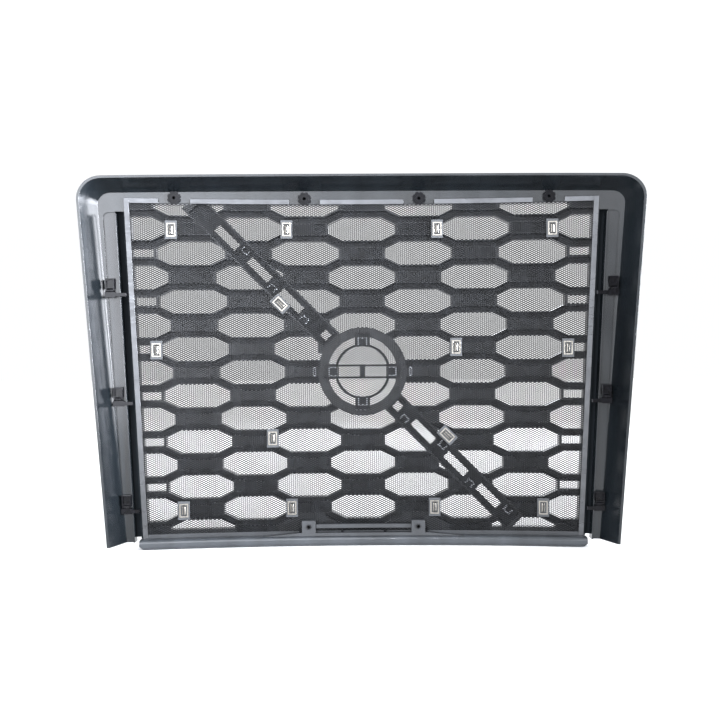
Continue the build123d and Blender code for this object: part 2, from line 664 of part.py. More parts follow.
for side, side_name in ((-1, "left"), (1, "right")):
    with BuildPart() as side_edging:
        strip = side_strip(free_side, edge_side, LATTICE_LOW_Z, LATTICE_TOP_Z, side)
        extrude(strip, amount=THROUGH, both=True)
        extrude(band(edging_back, SCREEN_BACK - SCREEN_GAP), amount=TALL, mode=Mode.INTERSECT)
    side_edging.part.label = "screen_edge_" + side_name
    export_step(side_edging.part, "parts/" + side_edging.part.label + ".step")

level_strips = {"top": (SCREEN_TOP_Z, LATTICE_TOP_Z), "bottom": (LATTICE_LOW_Z, SCREEN_LOW_Z)}
for strip_name, (low_z, high_z) in level_strips.items():
    with BuildPart() as level_edging:
        strip = upright(SCREEN_HALF_LOW - SCREEN_GAP, SCREEN_SLOPE, low_z, high_z)
        extrude(strip, amount=THROUGH, both=True)
        extrude(band(edging_back, SCREEN_BACK - SCREEN_GAP), amount=TALL, mode=Mode.INTERSECT)
        extrude(top_notches(NOTCH_LOW_Z, NOTCH_WIDTH), amount=THROUGH, both=True, mode=Mode.SUBTRACT)
    level_edging.part.label = "screen_edge_" + strip_name
    export_step(level_edging.part, "parts/" + level_edging.part.label + ".step")

# ---- push-on clips: a slotted plate on each blade, and a spring retainer on the plate ----
with BuildPart() as clip_retainers:
    with BuildSketch(Plane.XZ):
        for x, z, turn in CLIP_PLACES:
            with Locations(Location((x, z), -turn)):
                Rectangle(*CLIP_INNER)
        for x, z, turn in CLIP_PLACES:
            with Locations(Location((x, z), -turn)):
                Rectangle(CLIP_INNER[0] - 5, CLIP_INNER[1] - 5, mode=Mode.SUBTRACT)
    extrude(amount=THROUGH, both=True)
    extrude(band(CLIP_BACK - 1.6, CLIP_BACK - 0.1), amount=TALL, mode=Mode.INTERSECT)
clip_retainers.part.label = "clip_retainers"
export_step(clip_retainers.part, "parts/clip_retainers.step")

with BuildPart() as screen_clips:
    with BuildSketch(Plane.XZ):
        for x, z, turn in CLIP_PLACES:
            with Locations(Location((x, z), -turn)):
                Rectangle(*CLIP_PLATE)
        for x, z, turn in CLIP_PLACES:
            with Locations(Location((x, z), -turn)):
                Rectangle(BLADE_SIZE[0] + 0.6, BLADE_SIZE[1] + 0.6, mode=Mode.SUBTRACT)
    extrude(amount=THROUGH, both=True)
    extrude(band(CLIP_BACK, SCREEN_BACK - SCREEN_GAP), amount=TALL, mode=Mode.INTERSECT)
screen_clips.part.label = "screen_clips"
export_step(screen_clips.part, "parts/screen_clips.step")

# ---- top bosses and their collars ----
boss_places = [Location((x, bow_y(x), TOP_BOSS_Z), (90, 0, 0)) for x in TOP_BOSS_X]

with BuildPart() as top_bosses:
    with Locations(*boss_places):
        Cylinder(TOP_BOSS_RADIUS, 60)
    extrude(band(-200, -SCREEN_GAP), amount=TALL, mode=Mode.INTERSECT)
    for x in TOP_BOSS_X:
        with BuildSketch(Plane.XZ.offset(TOP_BOSS_HEIGHT - bow_y(x))):
            with Locations((x, TOP_BOSS_Z)):
                Circle(TOP_BOSS_RADIUS + 5)
        extrude(amount=100, mode=Mode.SUBTRACT)
    with Locations(*boss_places):
        Cylinder(SCREW_RADIUS, 100, mode=Mode.SUBTRACT)
top_bosses.part.label = "top_bosses"
export_step(top_bosses.part, "parts/top_bosses.step")

with BuildPart() as top_collars:
    for x in TOP_BOSS_X:
        with BuildSketch(Plane.XZ.offset(TOP_COLLAR_LIFT - bow_y(x))):
            with Locations((x, TOP_BOSS_Z)):
                Circle(TOP_COLLAR_RADIUS)
                Circle(TOP_BOSS_RADIUS + 0.1, mode=Mode.SUBTRACT)
                with PolarLocations(TOP_COLLAR_RADIUS, 8):
                    Circle(TOP_COLLAR_SCALLOP, mode=Mode.SUBTRACT)
        extrude(amount=TOP_COLLAR_THICK)
top_collars.part.label = "top_collars"
export_step(top_collars.part, "parts/top_collars.step")

# ---- lower rail: rounded bar under the lattice ----
with BuildPart() as lower_rail:
    extrude(band(RAIL_BAR_BACK, LATTICE_THICK), amount=RAIL_BAR_HEIGHT)
    back_face = lower_rail.faces().filter_by(GeomType.CYLINDER).sort_by(Axis.Y)[0]
    fillet(back_face.edges().filter_by(GeomType.CIRCLE), RAIL_BAR_ROUND)
    with BuildSketch(Plane.XZ):
        with BuildLine():
            Polyline(
                (-RAIL_BAR_HALF, RAIL_BAR_HEIGHT),
                (-RAIL_BAR_HALF, RAIL_BAR_NOSE),
                (-RAIL_BAR_HALF + RAIL_BAR_NOSE, 0),
                (RAIL_BAR_HALF - RAIL_BAR_NOSE, 0),
                (RAIL_BAR_HALF, RAIL_BAR_NOSE),
                (RAIL_BAR_HALF, RAIL_BAR_HEIGHT),
                close=True,
            )
        make_face()
    extrude(amount=THROUGH, both=True, mode=Mode.INTERSECT)
lower_rail.part.label = "lower_rail"
export_step(lower_rail.part, "parts/lower_rail.step")

# ---- lower bracket: two bored end blocks joined by a bar, on a ledge with sloping shoulders ----
with BuildPart() as bracket_bar:
    with BuildSketch(Plane.XZ):
        with Locations((0, BRACKET_HOLE_Z)):
            Rectangle(2 * BRACKET_HOLE_X, BRACKET_BAR_HEIGHT)
    extrude(amount=THROUGH, both=True)
    extrude(band(BRACKET_BAR_BACK, BRACKET_FRONT), amount=TALL, mode=Mode.INTERSECT)

with BuildPart() as lower_bracket:
    with BuildSketch(Plane.XZ):
        with BuildLine():
            Polyline(
                (-BRACKET_SHOULDER_X, BRACKET_LOW_Z),
                (BRACKET_SHOULDER_X, BRACKET_LOW_Z),
                (BRACKET_LEDGE_X, BRACKET_LEDGE_Z),
                (-BRACKET_LEDGE_X, BRACKET_LEDGE_Z),
                close=True,
            )
        make_face()
        with Locations(*[(x, BRACKET_BLOCK_MID_Z) for x in BRACKET_BOLTS]):
            Rectangle(*BRACKET_BLOCK)
    extrude(amount=THROUGH, both=True)
    extrude(band(BRACKET_BACK, BRACKET_FRONT), amount=TALL, mode=Mode.INTERSECT)
    add(bracket_bar.part)
    with BuildSketch(Plane.XZ):
        with Locations(*[(x, BRACKET_HOLE_Z) for x in BRACKET_BOLTS]):
            Circle(SLEEVE_RADIUS)
    extrude(amount=THROUGH, both=True, mode=Mode.SUBTRACT)
lower_bracket.part.label = "lower_bracket"
export_step(lower_bracket.part, "parts/lower_bracket.step")

with BuildPart() as bracket_sleeves:
    sleeve_back = -bow_y(BRACKET_HOLE_X, BRACKET_BACK) + 1.5
    with BuildSketch(Plane.XZ.offset(sleeve_back - SLEEVE_LENGTH)):
        with Locations(*[(x, BRACKET_HOLE_Z) for x in BRACKET_BOLTS]):
            Circle(SLEEVE_RADIUS - 0.05)
            Circle(SCREW_RADIUS, mode=Mode.SUBTRACT)
    extrude(amount=SLEEVE_LENGTH)
bracket_sleeves.part.label = "bracket_sleeves"
export_step(bracket_sleeves.part, "parts/bracket_sleeves.step")

with BuildPart() as bracket_pegs:
    for x in BRACKET_PEG_X:
        with BuildSketch(Plane.XY.offset(BRACKET_LEDGE_Z + 0.1)):
            with Locations((x, bow_y(x, (BRACKET_BACK + BRACKET_BAR_BACK) / 2))):
                Circle(BRACKET_PEG_RADIUS)
        extrude(amount=BRACKET_PEG_HEIGHT)
bracket_pegs.part.label = "bracket_pegs"
export_step(bracket_pegs.part, "parts/bracket_pegs.step")

# ---- side latches: a fixed body, a pin, and a sprung lever that reaches over the slot ----
with BuildPart() as latch_bodies:
    for latch_z in LATCH_HEIGHTS.values():
        for side in (-1, 1):
            x = side * latch_x(latch_z)
            seat_y = latch_seat_y(latch_z)
            outer_face = Plane.XZ.offset(LATCH_HEIGHT - seat_y)
            body_mid = (x, latch_z + LATCH_BODY_TALL / 2)
            with BuildSketch(outer_face):
                with Locations(body_mid):
                    Rectangle(2 * LATCH_HALF_WIDTH, LATCH_BODY_TALL)
            extrude(amount=-2 * LATCH_HEIGHT)
            for ear_x in (x - LATCH_EAR_X, x + LATCH_EAR_X):
                with BuildSketch(Plane.YZ.offset(ear_x - LATCH_EAR / 2)):
                    with Locations((seat_y - LATCH_PIN_LIFT, latch_z + LATCH_PIN_Z)):
                        Circle(LATCH_EAR_RADIUS)
                        Rectangle(2 * LATCH_EAR_RADIUS, LATCH_EAR_TALL, align=(Align.CENTER, Align.MIN))
                extrude(amount=LATCH_EAR)
            with BuildSketch(outer_face):
                with Locations(body_mid):
                    Rectangle(2 * LATCH_HALF_WIDTH - 2 * LATCH_WALL, LATCH_BODY_TALL - 2 * LATCH_WALL)
            extrude(amount=-LATCH_POCKET, mode=Mode.SUBTRACT)
            with BuildSketch(Plane.YZ.offset(x - LATCH_HEIGHT)):
                with Locations((seat_y - LATCH_PIN_LIFT, latch_z + LATCH_PIN_Z)):
                    Circle(LATCH_PIN_RADIUS)
            extrude(amount=2 * LATCH_HEIGHT, mode=Mode.SUBTRACT)
    extrude(band(-THROUGH, RAIL_BACK - 0.2), amount=TALL, mode=Mode.INTERSECT)
latch_bodies.part.label = "latch_bodies"
export_step(latch_bodies.part, "parts/latch_bodies.step")

with BuildPart() as latch_pins:
    for latch_z in LATCH_HEIGHTS.values():
        for side in (-1, 1):
            x = side * latch_x(latch_z)
            with BuildSketch(Plane.YZ.offset(x - LATCH_HALF_WIDTH)):
                with Locations((latch_seat_y(latch_z) - LATCH_PIN_LIFT, latch_z + LATCH_PIN_Z)):
                    Circle(LATCH_PIN_RADIUS - 0.02)
            extrude(amount=2 * LATCH_HALF_WIDTH)
latch_pins.part.label = "latch_pins"
export_step(latch_pins.part, "parts/latch_pins.step")

for height_name, latch_z in LATCH_HEIGHTS.items():
    for side, side_name in ((-1, "left"), (1, "right")):
        x = side * latch_x(latch_z)
        pin_y = latch_seat_y(latch_z) - LATCH_PIN_LIFT
        pin_z = latch_z + LATCH_PIN_Z
        toe_x = side * (lattice_edge + SCREEN_SLOPE * latch_z + LATCH_TOE_GAP)
        plate_top = latch_z - LATCH_PLATE_DROP
        with BuildPart() as lever_toe:
            with BuildSketch(Plane.XZ.offset(-pin_y)):
                with Locations((toe_x, plate_top - LATCH_PLATE_TALL / 2)):
                    Rectangle(LATCH_TOE, LATCH_ARM_TALL)
            extrude(amount=-2 * LATCH_PLATE_WIDE)
            extrude(band(-THROUGH, edging_back - 0.4), amount=TALL, mode=Mode.INTERSECT)
        with BuildPart() as latch_lever:
            with BuildSketch(Plane.YZ.offset(x - LATCH_KNUCKLE / 2)):
                with Locations((pin_y, pin_z)):
                    Circle(LATCH_KNUCKLE_RADIUS)
            extrude(amount=LATCH_KNUCKLE)
            with BuildSketch(Plane.XZ.offset(-pin_y - LATCH_PLATE_THICK / 2)):
                with Locations((x, plate_top - LATCH_PLATE_TALL / 2)):
                    Rectangle(LATCH_PLATE_WIDE, LATCH_PLATE_TALL)
                with Locations(((x + toe_x) / 2, plate_top - LATCH_PLATE_TALL / 2)):
                    Rectangle(abs(x - toe_x) + LATCH_TOE, LATCH_ARM_TALL)
            extrude(amount=LATCH_PLATE_THICK)
            add(lever_toe.part)
            with BuildSketch(Plane.YZ.offset(x - LATCH_PLATE_WIDE)):
                with Locations((pin_y, pin_z)):
                    Circle(LATCH_PIN_RADIUS + 0.05)
            extrude(amount=2 * LATCH_PLATE_WIDE, mode=Mode.SUBTRACT)
        latch_lever.part.label = side_name + "_" + height_name + "_latch_lever"
        export_step(latch_lever.part, "parts/" + latch_lever.part.label + ".step")
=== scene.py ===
"""Looks for a bowed front grille: screen, clip tongues, pips, finishes and studio, round the frame."""

import json
import math

import bpy
import numpy as np
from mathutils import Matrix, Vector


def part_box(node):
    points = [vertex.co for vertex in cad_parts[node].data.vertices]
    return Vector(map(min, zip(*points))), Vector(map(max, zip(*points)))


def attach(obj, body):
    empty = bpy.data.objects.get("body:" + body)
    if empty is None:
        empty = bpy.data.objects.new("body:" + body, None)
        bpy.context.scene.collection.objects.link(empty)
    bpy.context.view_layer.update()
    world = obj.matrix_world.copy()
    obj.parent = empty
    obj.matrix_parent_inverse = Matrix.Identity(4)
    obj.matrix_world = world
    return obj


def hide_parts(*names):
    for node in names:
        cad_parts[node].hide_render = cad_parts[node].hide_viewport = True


bl_info = {
    "name": "Front grille looks",
    "version": (1, 0, 0),
    "blender": (4, 5, 0),
    "location": "3D View > Sidebar > Grille",
    "description": "Builds the fine pieces and the finishes of a bowed front grille",
    "category": "Object",
}

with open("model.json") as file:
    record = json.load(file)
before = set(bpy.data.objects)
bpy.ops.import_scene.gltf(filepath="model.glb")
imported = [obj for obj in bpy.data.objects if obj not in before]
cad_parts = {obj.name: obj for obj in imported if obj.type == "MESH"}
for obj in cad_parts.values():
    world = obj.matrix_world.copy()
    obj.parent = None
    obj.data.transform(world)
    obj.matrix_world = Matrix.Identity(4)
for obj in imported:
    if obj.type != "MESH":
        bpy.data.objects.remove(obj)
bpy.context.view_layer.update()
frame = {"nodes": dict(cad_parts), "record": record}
FRAME_BODY = "frame"

# ---- fixed sizes, in metres and degrees ----
STRUT_CLEAR = 0.031          # a pip's least distance from the diagonal strut's middle line
BOSS_CLEAR = 0.1             # and from the middle of the round boss
PIP_LOW, PIP_HIGH = 0.045, 0.695
PIP_COLUMNS = 3              # columns either side of the middle one that carry pips
PIP_ROWS = 3.5               # rows above and below the boss
DOME_TURNS = 12              # corners round a pip
DOME_RINGS = 4
DOME_LAST = 0.96             # share of the way to the crown at which the last ring lies
PIP_SINK = 0.0003            # a pip starts this far inside its panel
TONGUE_STATIONS = 9
TONGUE_ACROSS = 5
TONGUE_SHEET = 0.0004        # thickness of a tongue's sheet
TONGUE_LIFT_OFF = 0.0002     # a tongue starts this far in front of the retainer's back
CLIP_SPACING = 0.05          # points nearer than this belong to one clip
UPRIGHT_CLIP_WIDTH = 0.03    # a clip that looks wider than this is a turned one
CLIP_TURN = -45.0

# ---- studio ----
FLOOR_REACH = 12.0
FLOOR_DROP = 0.0005          # the floor lies this far below the grille
LAMP_TINT = (0.90, 0.93, 1.0)
# where, aim, size, power in watts, spread in degrees
LAMPS = {
    "key": ((-0.74, -2.3, 0.96), (-0.74, 0.0, 0.96), (1.34, 1.66), 104.0, 180.0),
    "right": ((0.72, -2.3, 1.50), (0.72, 0.0, 1.50), (1.2, 1.2), 13.0, 180.0),
    "side": ((2.4, -1.1, 0.95), (-0.53, -0.03, 0.85), (1.0, 1.2), 45.0, 40.0),
    "front": ((0.9, 3.0, 1.8), (0.0, 0.0, 0.35), (1.8, 1.8), 60.0, 180.0),
}
CAMERA_PLACE = (-0.0243, -2.2, 0.4054)
CAMERA_AIM = (-0.0052, 0.0456, 0.3829)
CAMERA_ROLL = -0.006
CAMERA_LENS = 53.97          # millimetres, on a sensor 36 mm wide
CAMERA_SENSOR = 36.0


# ---- sizes and colours that a user would change ----
def length(name, words, default):
    """A length property in metres."""
    return bpy.props.FloatProperty(
        name=name, description=words, default=default, unit="LENGTH", precision=5
    )


def colour(name, words, default):
    """A colour property."""
    return bpy.props.FloatVectorProperty(
        name=name, description=words, default=default, size=3, min=0.0, max=1.0, subtype="COLOR"
    )


class GrilleForm(bpy.types.PropertyGroup):
    """The curve and the outline that the fine pieces follow."""

    bow_radius: length("Bow radius", "Plan radius of the lattice's back face", 2.8)
    apex_y: length("Apex", "Place of the lattice's back face on the centre line", 0.0456)
    screen_half: length("Screen half width", "Half width of the screen at the bottom", 0.449)
    screen_low: length("Screen foot", "Height of the screen's lower edge", 0.0208)
    screen_top: length("Screen top", "Height of the screen's upper edge", 0.7156)
    notch_low: length("Notch height", "Height at which the top bosses' notches start", 0.7045)
    notch_half: length("Notch half width", "Half width of a notch", 0.032)
    boss_height: length("Boss height", "Height of the round boss's centre", 0.359)
    column_pitch: length("Column pitch", "Pitch of the lattice's columns at the bottom", 0.1099)
    row_pitch: length("Row pitch", "Pitch of the lattice's rows at the boss", 0.0963)
    screen_slope: bpy.props.FloatProperty(
        name="Screen slope", description="Growth of the screen's half width with height", default=0.0487
    )
    column_slope: bpy.props.FloatProperty(
        name="Column slope", description="Growth of the column pitch with height", default=0.01218
    )
    row_gain: bpy.props.FloatProperty(
        name="Row gain", description="Growth of the row pitch for each row squared", default=0.0008
    )


class GrilleScreen(bpy.types.PropertyGroup):
    """The diamond screen."""

    cell_width: length("Cell width", "Length of one diamond", 0.00865)
    cell_height: length("Cell height", "Height of one diamond", 0.0042)
    strand_width: length("Strand width", "Width of a strand seen from the back", 0.00140)
    strand_depth: length("Strand depth", "Thickness of a strand", 0.0009)
    middle_depth: length("Screen depth", "Depth of the screen's middle behind the lattice", -0.0008)
    stretches: bpy.props.IntProperty(
        name="Stretches", description="Straight stretches that a strand is made of", default=24, min=4
    )


class GrilleTrim(bpy.types.PropertyGroup):
    """Pips on the lattice's panels and tongues in the push-on clips."""

    pip_radius: length("Pip radius", "Radius of a pip on a panel", 0.0024)
    pip_rise: length("Pip rise", "Height of a pip", 0.0011)
    pip_offset: length("Pip offset", "Place of a pip either side of a panel's middle", 0.0235)
    panel_depth: length("Panel depth", "Depth of the lattice's panels", 0.003)
    tongue_length: length("Tongue length", "Length of a clip's tongue", 0.0205)
    tongue_width: length("Tongue width", "Width of a clip's tongue", 0.0034)
    tongue_rise: length("Tongue rise", "How far a tongue is bent up", 0.0016)
    tongue_offset: length("Tongue offset", "Place of a tongue beside the blade", 0.0039)
    clip_depth: length("Clip depth", "Depth of the clips' retainers", -0.0046)


class GrilleColours(bpy.types.PropertyGroup):
    """Colours of the finishes, scene linear."""

    moulding: colour("Moulding", "Surround and side rails", (0.0062, 0.0080, 0.0097))
    show_face: colour("Show face", "Front bezel", (0.010, 0.012, 0.014))
    lattice: colour("Lattice", "Lattice insert", (0.0075, 0.0085, 0.010))
    screen: colour("Screen", "Paint of the diamond screen", (0.006, 0.0065, 0.0075))
    metal: colour("Metal", "Folded edging", (0.085, 0.087, 0.091))
    dark_edging: colour("Dark edging", "Edging along the bottom", (0.020, 0.022, 0.025))
    rail: colour("Rail", "Lower rail", (0.032, 0.036, 0.041))
    bracket: colour("Bracket", "Lower bracket", (0.022, 0.024, 0.027))
    steel: colour("Steel", "Sleeves and pins", (0.035, 0.036, 0.038))
    hardware: colour("Hardware", "Bosses, collars and pegs", (0.004, 0.004, 0.005))
    clip_plastic: colour("Clip plastic", "U clips", (0.30, 0.31, 0.33))
    clip_pad: colour("Clip pad", "Plates under the push-on clips", (0.035, 0.038, 0.042))
    clip_metal: colour("Clip metal", "Push-on clips", (0.24, 0.225, 0.20))
    latch: colour("Latch", "Side latches", (0.003, 0.003, 0.004))


# ---- shared shapes ----
def settings():
    """The scene's own property groups."""
    return bpy.context.scene.grille


def bow_y(x, depth):
    """Y of the bowed surface: apex - R + sqrt((R + depth)^2 - x^2), so a point's distance from the bow's
    upright axis is the bow radius plus the depth."""
    form = settings().form
    return form.apex_y - form.bow_radius + np.sqrt((form.bow_radius + depth) ** 2 - x**2)


def grid_faces(across, along, closed_across):
    """Quads of a grid of points with `along` rows of `across` points; rows may close on themselves."""
    wraps = across if closed_across else across - 1
    row, column = np.meshgrid(np.arange(along - 1), np.arange(wraps), indexing="ij")
    following = (column + 1) % across
    corners = [row * across + column, row * across + following]
    corners += [(row + 1) * across + following, (row + 1) * across + column]
    return np.stack([c.ravel() for c in corners], axis=1)


def mesh_object(name, points, faces, material, smooth):
    """Puts whole arrays of points and faces into one mesh, its place in its points."""
    mesh = bpy.data.meshes.new(name)
    mesh.from_pydata(points.reshape(-1, 3).tolist(), [], faces)
    mesh.update()
    mesh.polygons.foreach_set("use_smooth", np.full(len(mesh.polygons), smooth))
    piece = bpy.data.objects.new(name, mesh)
    bpy.context.scene.collection.objects.link(piece)
    piece.data.materials.append(material)
    return piece


def strand_family(direction):
    """One family of the screen's strands, as points (strand, station, corner, 3).

    A strand is the straight line z = direction * slope * x + c on the bowed sheet, where slope is the
    cell's height over its width and c steps by one cell height. It is kept between the sheet's foot, top
    and sloping sides, and stops where it meets a notch. Its section is a rhombus: half the strand's width
    either way in the sheet, and half its depth either way across it."""
    form = settings().form
    screen = settings().screen
    slope = direction * screen.cell_height / screen.cell_width
    reach = form.screen_half + form.screen_slope * form.screen_top
    spread = abs(slope) * reach
    count = int((form.screen_top - form.screen_low + 2 * spread) / screen.cell_height)
    level = form.screen_low - spread + (np.arange(count) + 0.5) * screen.cell_height

    # sides: |x| = half + side_slope * z, with z = slope * x + level
    side = form.screen_slope
    right = (form.screen_half + side * level) / (1 - side * slope)
    left = -(form.screen_half + side * level) / (1 + side * slope)
    at_foot = (form.screen_low - level) / slope
    at_top = (form.screen_top - level) / slope
    start = np.maximum(left, np.minimum(at_foot, at_top))
    end = np.minimum(right, np.maximum(at_foot, at_top))

    low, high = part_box("top_bosses")
    radius = (high.z - low.z) / 2
    middles = boss_middles(low.x + radius, high.x - radius)
    at_notch = (form.notch_low - level) / slope
    for middle in middles:
        near = middle - direction * form.notch_half
        entry = np.maximum(direction * at_notch, direction * near) * direction
        meets = (direction * (entry - middle) < form.notch_half) & (direction * (at_top - entry) > 0)
        if direction > 0:
            end = np.where(meets & (end > entry), entry, end)
        else:
            start = np.where(meets & (start < entry), entry, start)
    kept = end - start > screen.cell_width / 2
    start, end, level = start[kept], end[kept], level[kept]

    share = np.linspace(0.0, 1.0, screen.stretches + 1)
    x = start[:, None] + (end - start)[:, None] * share[None, :]
    z = slope * x + level[:, None]
    run = math.hypot(1.0, slope)
    half_width = screen.strand_width / 2
    half_depth = screen.strand_depth / 2
    layer = screen.middle_depth - direction * half_depth / 2
    aside_x = -slope / run * half_width
    aside_z = 1.0 / run * half_width
    offsets = [(aside_x, aside_z, 0.0), (0.0, 0.0, -half_depth)]
    offsets += [(-aside_x, -aside_z, 0.0), (0.0, 0.0, half_depth)]
    corners = [np.stack([x + dx, bow_y(x + dx, layer + dy), z + dz], axis=-1) for dx, dz, dy in offsets]
    return np.stack(corners, axis=2)


def node_points(name):
    """All points of a node of the frame, one row each."""
    node = frame["nodes"][name]
    points = np.empty(len(node.data.vertices) * 3, np.float32)
    node.data.vertices.foreach_get("co", points)
    return points.reshape(-1, 3)


def boss_middles(low_x, high_x):
    """Sideways places of the four top bosses: the outer pair as given, the inner pair from the mesh."""
    x = node_points("top_bosses")[:, 0]
    inner = x[(x > 0) & (x < high_x / 2)]
    inner_middle = (inner.min() + inner.max()) / 2
    return [low_x, -inner_middle, inner_middle, high_x]


def strand_faces(strands, stations):
    """Side quads and end caps of every strand, each strand a closed tube of four-cornered rings."""
    sides = grid_faces(4, stations, True)
    last = (stations - 1) * 4
    caps = np.array([[3, 2, 1, 0], [last, last + 1, last + 2, last + 3]])
    one = np.vstack([sides, caps])
    step = np.arange(strands)[:, None, None] * stations * 4
    return (one[None, :, :] + step).reshape(-1, 4)


def column_x(column, height):
    """Sideways place of a lattice column: its number times a pitch that grows with height."""
    form = settings().form
    return column * (form.column_pitch + form.column_slope * height)


def row_z(row):
    """Height of a lattice row: boss height, plus pitch times the row, plus gain times its square."""
    form = settings().form
    return form.boss_height + form.row_pitch * row + form.row_gain * row**2


def pip_places():
    """Middles of the pips, two on each panel that the strut and the boss leave whole."""
    form = settings().form
    trim = settings().trim
    columns = np.arange(-PIP_COLUMNS, PIP_COLUMNS + 1)
    rows = np.arange(-PIP_ROWS, PIP_ROWS + 0.5, 0.5)
    column, row = np.meshgrid(columns, rows, indexing="ij")
    staggered = (column + 2 * row) % 2 == 1
    z = row_z(row[staggered])
    x = column_x(column[staggered], z)
    x = np.concatenate([x - trim.pip_offset, x + trim.pip_offset])
    z = np.concatenate([z, z])
    rise = z - form.boss_height
    off_strut = np.abs(x + rise) / math.sqrt(2.0) > STRUT_CLEAR
    off_boss = np.hypot(x, rise) > BOSS_CLEAR
    level = (z > PIP_LOW) & (z < PIP_HIGH)
    kept = off_strut & off_boss & level
    return x[kept], z[kept]


def dome_points(x, z, radius, rise, base_depth):
    """Domes on the bowed sheet: at share s from the rim (0) to the crown (1), a point lies
    radius * cos(s * 90 deg) out from the middle and rise * sin(s * 90 deg) proud of the base depth."""
    turn = np.linspace(0.0, 2 * math.pi, DOME_TURNS, endpoint=False)
    share = np.linspace(0.0, DOME_LAST, DOME_RINGS)
    out = radius * np.cos(share * math.pi / 2)
    lift = rise * np.sin(share * math.pi / 2)
    dx = out[:, None] * np.cos(turn)[None, :]
    dz = -out[:, None] * np.sin(turn)[None, :]
    px = x[:, None, None] + dx[None]
    pz = z[:, None, None] + dz[None]
    py = bow_y(px, base_depth) - lift[None, :, None]
    return np.stack([px, py, pz], axis=-1)


def dome_faces(domes, rings, around):
    """Quads between the rings of each dome, its crown and its base closed by one face each."""
    sides = [list(face) for face in grid_faces(around, rings, True)]
    crown = [(rings - 1) * around + i for i in range(around)]
    base = list(range(around))[::-1]
    one = sides + [crown, base]
    return [[index + dome * rings * around for index in face] for dome in range(domes) for face in one]


def clip_frames():
    """Middle and turn of each push-on clip, measured on the retainers' own solids in the frame."""
    flat = node_points("clip_retainers")[:, [0, 2]].astype(float)
    middles = []
    left = np.ones(len(flat), bool)
    while left.any():
        seed = flat[left][0]
        group = left & (np.hypot(*(flat - seed).T) < CLIP_SPACING)
        low, high = flat[group].min(axis=0), flat[group].max(axis=0)
        turned = (high - low)[0] > UPRIGHT_CLIP_WIDTH
        middles.append(((low + high) / 2, CLIP_TURN if turned else 0.0))
        left &= ~group
    return middles


def tongue_points(middle, turn):
    """Two bent tongues of one clip: at share s along and t across, a point lies along the clip's long
    direction by (s - 1/2) * length and across by t * width, and stands up by rise * sin(t * 90 deg) less a
    dip towards both ends, so that each tongue leans up against the blade."""
    trim = settings().trim
    along = np.linspace(-0.5, 0.5, TONGUE_STATIONS)
    across = np.linspace(0.0, 1.0, TONGUE_ACROSS)
    angle = math.radians(turn)
    long_way = np.array([math.sin(angle), math.cos(angle)])
    side_way = np.array([math.cos(angle), -math.sin(angle)])
    rows = along[:, None] * trim.tongue_length
    shapes = []
    for side in (-1, 1):
        reach = side * (trim.tongue_offset - trim.tongue_width * across)
        lift = trim.tongue_rise * np.sin(across * math.pi / 2)
        ends = 1.0 - (2.0 * np.abs(along)) ** 6
        px = middle[0] + rows * long_way[0] + reach[None, :] * side_way[0]
        pz = middle[1] + rows * long_way[1] + reach[None, :] * side_way[1]
        py = bow_y(px, trim.clip_depth + TONGUE_LIFT_OFF) - ends[:, None] * lift[None, :]
        shapes.append(np.stack([px, py, pz], axis=-1))
    return shapes


# ---- finishes ----
def new_finish(name):
    """An empty node material with a principled shader, and its object coordinates."""
    material = bpy.data.materials.new(name)
    material.use_nodes = True
    nodes = material.node_tree.nodes
    nodes.clear()
    output = nodes.new("ShaderNodeOutputMaterial")
    shader = nodes.new("ShaderNodeBsdfPrincipled")
    place = nodes.new("ShaderNodeTexCoord")
    material.node_tree.links.new(shader.outputs["BSDF"], output.inputs["Surface"])
    return material, shader, place


def noise(material, place, scale, detail, stretch):
    """A noise pattern on object coordinates, drawn out by `stretch` along X, Y and Z."""
    nodes, links = material.node_tree.nodes, material.node_tree.links
    mapping = nodes.new("ShaderNodeMapping")
    mapping.inputs["Scale"].default_value = stretch
    pattern = nodes.new("ShaderNodeTexNoise")
    pattern.inputs["Scale"].default_value = scale
    pattern.inputs["Detail"].default_value = detail
    links.new(place.outputs["Object"], mapping.inputs["Vector"])
    links.new(mapping.outputs["Vector"], pattern.inputs["Vector"])
    return pattern.outputs["Fac"]


def two_tone(material, factor, low, high, start, end):
    """A colour that runs from low to high while the factor runs from start to end."""
    ramp = material.node_tree.nodes.new("ShaderNodeValToRGB")
    ramp.color_ramp.elements[0].position = start
    ramp.color_ramp.elements[0].color = (*low, 1.0)
    ramp.color_ramp.elements[1].position = end
    ramp.color_ramp.elements[1].color = (*high, 1.0)
    material.node_tree.links.new(factor, ramp.inputs["Fac"])
    return ramp.outputs["Color"]


def stretched(tree, value, start, end, low, high):
    """The value, clamped to start and end, stretched to low and high."""
    span = tree.nodes.new("ShaderNodeMapRange")
    span.inputs["From Min"].default_value = start
    span.inputs["From Max"].default_value = end
    span.inputs["To Min"].default_value = low
    span.inputs["To Max"].default_value = high
    tree.links.new(value, span.inputs["Value"])
    return span.outputs["Result"]


def remap(material, factor, low, high):
    """A noise factor, from its usual 0.3 to 0.7, stretched to low and high."""
    return stretched(material.node_tree, factor, 0.3, 0.7, low, high)


def rounded_bump(material, shader, height, strength, distance, edge):
    """Grain on a surface whose edges are shaded as if rounded by `edge` metres."""
    nodes, links = material.node_tree.nodes, material.node_tree.links
    rounding = nodes.new("ShaderNodeBevel")
    rounding.samples = 4
    rounding.inputs["Radius"].default_value = edge
    bump = nodes.new("ShaderNodeBump")
    bump.inputs["Strength"].default_value = strength
    bump.inputs["Distance"].default_value = distance
    links.new(height, bump.inputs["Height"])
    links.new(rounding.outputs["Normal"], bump.inputs["Normal"])
    links.new(bump.outputs["Normal"], shader.inputs["Normal"])


def shade(base, factor):
    """A colour made lighter or darker."""
    return tuple(min(1.0, channel * factor) for channel in base)


